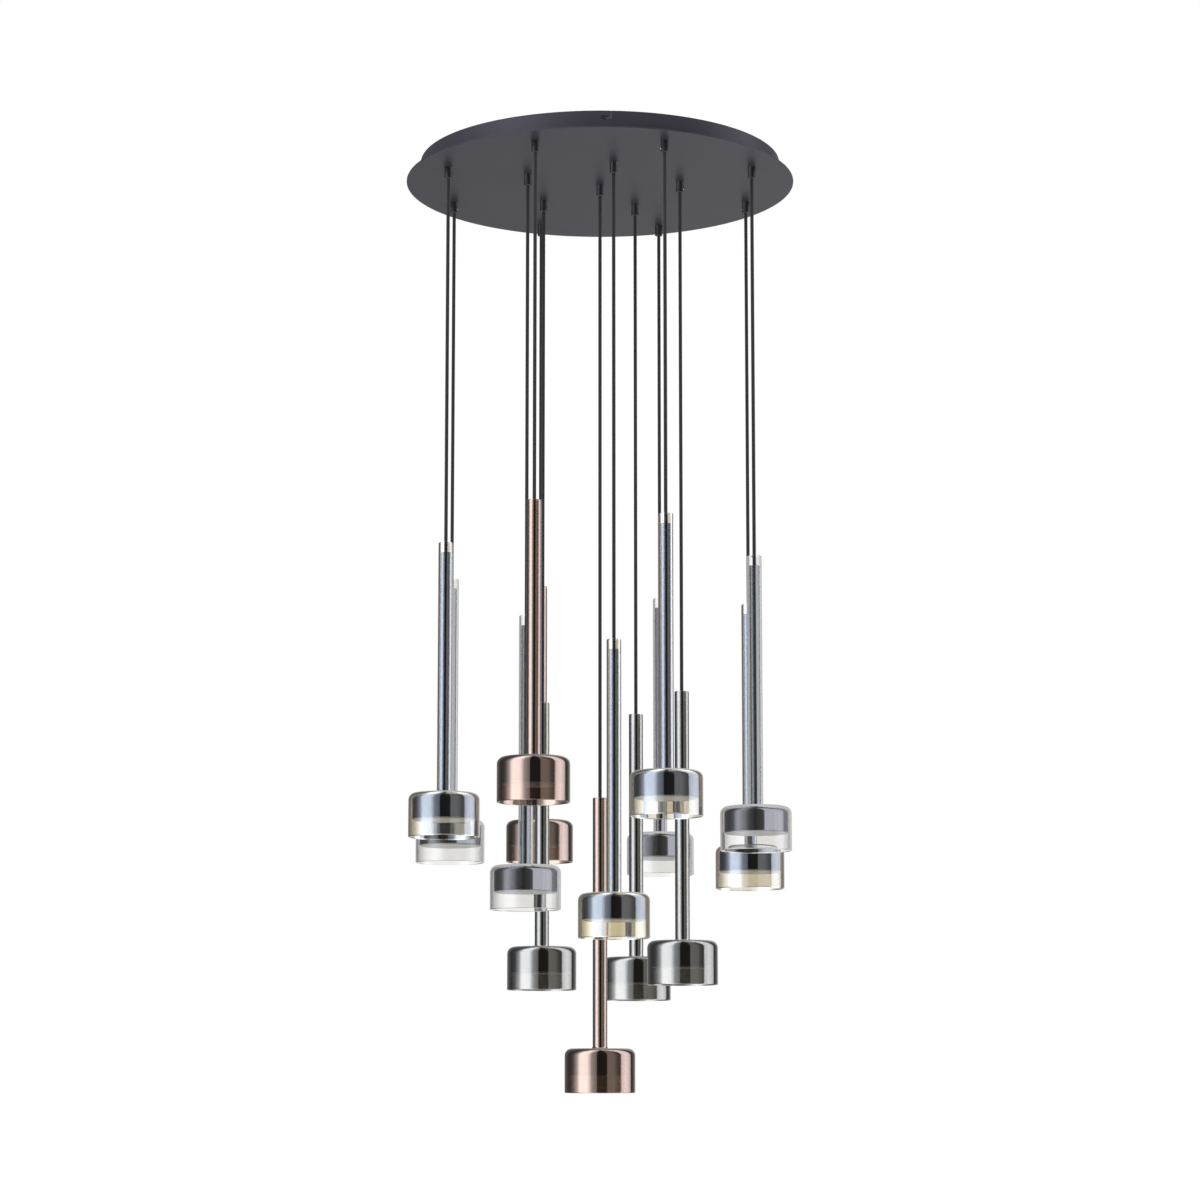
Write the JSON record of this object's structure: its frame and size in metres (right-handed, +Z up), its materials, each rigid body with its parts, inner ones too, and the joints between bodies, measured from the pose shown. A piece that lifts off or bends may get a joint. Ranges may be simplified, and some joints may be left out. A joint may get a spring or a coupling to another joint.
{
  "type": "cluster pendant light",
  "caption": "Round ceiling canopy with cylindrical glass pendant lamps hung from straight textile cords at stepped heights, each with a glass neck, a metal lamp can and an opal diffuser.",
  "frame": {"origin": "centre of the ceiling bracket's face against the ceiling", "axes": "+Z up, normal to the ceiling; -Y towards the viewer of the picture; +X to that viewer's right"},
  "size_m": [0.5999, 0.6, 1.429],
  "materials": {
    "canopy_paint": "satin charcoal paint",
    "zinc_steel": "zinc plated",
    "dark_screw": "dark plated",
    "driver_case": "matte white",
    "terminal_plastic": "matte",
    "brass_earth": "plain",
    "black_metal": "satin black",
    "black_textile": "braided",
    "dark_chrome": "polished dark chrome",
    "opal_diffuser": "opal",
    "clear_glass": "clear",
    "champagne_glass": "champagne metallised",
    "copper_glass": "copper metallised",
    "smoke_glass": "smoke metallised"
  },
  "bodies": {
    "canopy": {"canopy_plate": "canopy_paint", "canopy_skirt": "canopy_paint", "ceiling_bracket": "zinc_steel", "side_screws": "dark_screw", "led_driver_1": "driver_case", "led_driver_2": "driver_case", "driver_screws": "zinc_steel", "terminal_block": "terminal_plastic", "earth_stud": "brass_earth", "earth_nut": "brass_earth", "cord_grips": "black_metal", "grip_nuts": "zinc_steel"},
    "hanging_cord_a": {"cord_a": "black_textile"},
    "pendant_a": {"glass_a": "champagne_glass", "lamp_a": "dark_chrome"},
    "hanging_cord_b": {"cord_b": "black_textile"},
    "pendant_b": {"glass_b": "clear_glass", "lamp_b": "dark_chrome"},
    "hanging_cord_c": {"cord_c": "black_textile"},
    "pendant_c": {"glass_c": "clear_glass", "lamp_c": "dark_chrome"},
    "hanging_cord_d": {"cord_d": "black_textile"},
    "pendant_d": {"glass_d": "copper_glass", "lamp_d": "dark_chrome"},
    "hanging_cord_e": {"cord_e": "black_textile"},
    "pendant_e": {"glass_e": "copper_glass", "lamp_e": "dark_chrome"},
    "hanging_cord_f": {"cord_f": "black_textile"},
    "pendant_f": {"glass_f": "smoke_glass", "lamp_f": "dark_chrome"},
    "hanging_cord_g": {"cord_g": "black_textile"},
    "pendant_g": {"glass_g": "copper_glass", "lamp_g": "dark_chrome"},
    "hanging_cord_h": {"cord_h": "black_textile"},
    "pendant_h": {"glass_h": "champagne_glass", "lamp_h": "dark_chrome"},
    "hanging_cord_i": {"cord_i": "black_textile"},
    "pendant_i": {"glass_i": "smoke_glass", "lamp_i": "dark_chrome"},
    "hanging_cord_j": {"cord_j": "black_textile"},
    "pendant_j": {"glass_j": "clear_glass", "lamp_j": "dark_chrome"},
    "hanging_cord_k": {"cord_k": "black_textile"},
    "pendant_k": {"glass_k": "champagne_glass", "lamp_k": "dark_chrome"},
    "hanging_cord_l": {"cord_l": "black_textile"},
    "pendant_l": {"glass_l": "smoke_glass", "lamp_l": "dark_chrome"},
    "hanging_cord_m": {"cord_m": "black_textile"},
    "pendant_m": {"glass_m": "champagne_glass", "lamp_m": "dark_chrome"},
    "hanging_cord_n": {"cord_n": "black_textile"},
    "pendant_n": {"glass_n": "clear_glass", "lamp_n": "dark_chrome"}
  },
  "joints": [
    {"name": "swing_a", "type": "hinge", "parent": "canopy", "child": "hanging_cord_a", "pos_m": [-0.23097, -0.09567, -0.049], "axis": [0, -1, 0], "range_deg": [-8, 3.75]},
    {"name": "tilt_a", "type": "hinge", "parent": "hanging_cord_a", "child": "pendant_a", "pos_m": [-0.23097, -0.09567, -0.627], "axis": [1, 0, 0], "range_deg": [-8, 8]},
    {"name": "swing_b", "type": "hinge", "parent": "canopy", "child": "hanging_cord_b", "pos_m": [-0.23097, 0.09567, -0.049], "axis": [0, -1, 0], "range_deg": [-8, 4.25]},
    {"name": "tilt_b", "type": "hinge", "parent": "hanging_cord_b", "child": "pendant_b", "pos_m": [-0.23097, 0.09567, -0.652], "axis": [1, 0, 0], "range_deg": [-8, 8]},
    {"name": "swing_c", "type": "hinge", "parent": "canopy", "child": "hanging_cord_c", "pos_m": [-0.11088, -0.05772, -0.049], "axis": [0, -1, 0], "range_deg": [-3.75, 2.25]},
    {"name": "tilt_c", "type": "hinge", "parent": "hanging_cord_c", "child": "pendant_c", "pos_m": [-0.11088, -0.05772, -0.732], "axis": [1, 0, 0], "range_deg": [-8, 8]},
    {"name": "swing_d", "type": "hinge", "parent": "canopy", "child": "hanging_cord_d", "pos_m": [-0.09567, -0.23097, -0.049], "axis": [0, -1, 0], "range_deg": [-8, 4.75]},
    {"name": "tilt_d", "type": "hinge", "parent": "hanging_cord_d", "child": "pendant_d", "pos_m": [-0.09567, -0.23097, -0.587], "axis": [1, 0, 0], "range_deg": [-8, 8]},
    {"name": "swing_e", "type": "hinge", "parent": "canopy", "child": "hanging_cord_e", "pos_m": [-0.09567, 0.23097, -0.049], "axis": [0, -1, 0], "range_deg": [-8, 4.5]},
    {"name": "tilt_e", "type": "hinge", "parent": "hanging_cord_e", "child": "pendant_e", "pos_m": [-0.09567, 0.23097, -0.642], "axis": [1, 0, 0], "range_deg": [-8, 8]},
    {"name": "swing_f", "type": "hinge", "parent": "canopy", "child": "hanging_cord_f", "pos_m": [-0.08916, 0.08761, -0.049], "axis": [0, -1, 0], "range_deg": [-4.25, 1.75]},
    {"name": "tilt_f", "type": "hinge", "parent": "hanging_cord_f", "child": "pendant_f", "pos_m": [-0.08916, 0.08761, -0.847], "axis": [1, 0, 0], "range_deg": [-8, 8]},
    {"name": "swing_g", "type": "hinge", "parent": "canopy", "child": "hanging_cord_g", "pos_m": [0, 0, -0.049], "axis": [0, -1, 0], "range_deg": [-4, 2.75]},
    {"name": "tilt_g", "type": "hinge", "parent": "hanging_cord_g", "child": "pendant_g", "pos_m": [0, 0, -1.002], "axis": [1, 0, 0], "range_deg": [-8, 8]},
    {"name": "swing_h", "type": "hinge", "parent": "canopy", "child": "hanging_cord_h", "pos_m": [0.02063, -0.12329, -0.049], "axis": [0, -1, 0], "range_deg": [-2.25, 8]},
    {"name": "tilt_h", "type": "hinge", "parent": "hanging_cord_h", "child": "pendant_h", "pos_m": [0.02063, -0.12329, -0.777], "axis": [1, 0, 0], "range_deg": [-8, 8]},
    {"name": "swing_i", "type": "hinge", "parent": "canopy", "child": "hanging_cord_i", "pos_m": [0.05577, 0.11187, -0.049], "axis": [0, -1, 0], "range_deg": [-1.75, 5.75]},
    {"name": "tilt_i", "type": "hinge", "parent": "hanging_cord_i", "child": "pendant_i", "pos_m": [0.05577, 0.11187, -0.862], "axis": [1, 0, 0], "range_deg": [-6.5, 8]},
    {"name": "swing_j", "type": "hinge", "parent": "canopy", "child": "hanging_cord_j", "pos_m": [0.09567, 0.23097, -0.049], "axis": [0, -1, 0], "range_deg": [-4.5, 8]},
    {"name": "tilt_j", "type": "hinge", "parent": "hanging_cord_j", "child": "pendant_j", "pos_m": [0.09567, 0.23097, -0.662], "axis": [1, 0, 0], "range_deg": [-8, 8]},
    {"name": "swing_k", "type": "hinge", "parent": "canopy", "child": "hanging_cord_k", "pos_m": [0.09567, -0.23097, -0.049], "axis": [0, -1, 0], "range_deg": [-4.75, 8]},
    {"name": "tilt_k", "type": "hinge", "parent": "hanging_cord_k", "child": "pendant_k", "pos_m": [0.09567, -0.23097, -0.607], "axis": [1, 0, 0], "range_deg": [-8, 8]},
    {"name": "swing_l", "type": "hinge", "parent": "canopy", "child": "hanging_cord_l", "pos_m": [0.12363, -0.01848, -0.049], "axis": [0, -1, 0], "range_deg": [-2.75, 8]},
    {"name": "tilt_l", "type": "hinge", "parent": "hanging_cord_l", "child": "pendant_l", "pos_m": [0.12363, -0.01848, -0.842], "axis": [1, 0, 0], "range_deg": [-8, 6.25]},
    {"name": "swing_m", "type": "hinge", "parent": "canopy", "child": "hanging_cord_m", "pos_m": [0.23097, 0.09567, -0.049], "axis": [0, -1, 0], "range_deg": [-6, 8]},
    {"name": "tilt_m", "type": "hinge", "parent": "hanging_cord_m", "child": "pendant_m", "pos_m": [0.23097, 0.09567, -0.692], "axis": [1, 0, 0], "range_deg": [-8, 8]},
    {"name": "swing_n", "type": "hinge", "parent": "canopy", "child": "hanging_cord_n", "pos_m": [0.23097, -0.09567, -0.049], "axis": [0, -1, 0], "range_deg": [-8, 8]},
    {"name": "tilt_n", "type": "hinge", "parent": "hanging_cord_n", "child": "pendant_n", "pos_m": [0.23097, -0.09567, -0.647], "axis": [1, 0, 0], "range_deg": [-8, 8]}
  ]
}
